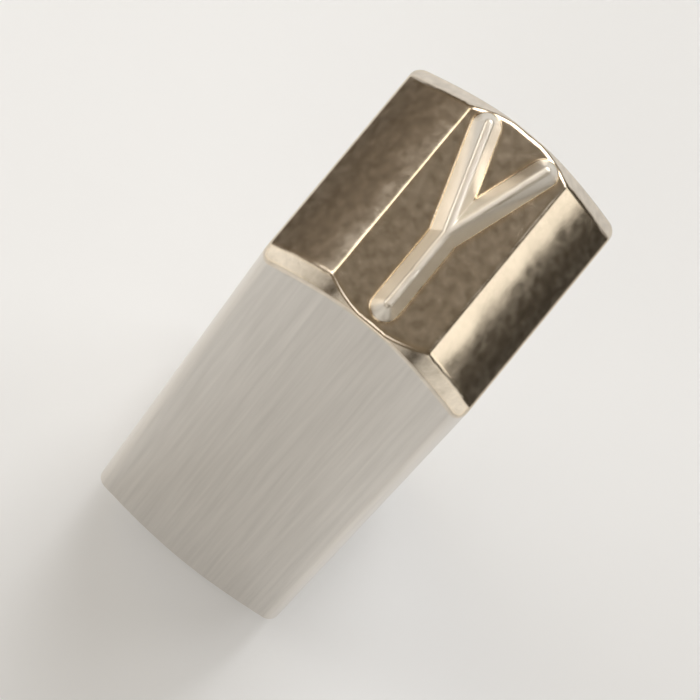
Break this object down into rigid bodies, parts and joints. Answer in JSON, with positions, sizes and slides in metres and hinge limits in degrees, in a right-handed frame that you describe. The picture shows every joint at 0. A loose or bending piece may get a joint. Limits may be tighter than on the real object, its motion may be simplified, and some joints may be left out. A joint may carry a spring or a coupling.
{
  "type": "steel letter punch",
  "caption": "Square steel hand punch with a turned crown, side flats and a raised letter Y for stamping a letter into metal by a hammer blow.",
  "frame": {"origin": "centre of the flat struck end, on the punch's own axis", "axes": "+Z along the shank from the struck end to the letter, +Y towards the letter's top, +X towards the letter's right as seen from above"},
  "size_m": [0.012, 0.012, 0.063],
  "materials": {
    "steel": "tumbled and nickel plated, warm and bright"
  },
  "bodies": {
    "root": {"letter_punch": "steel"}
  },
  "joints": []
}
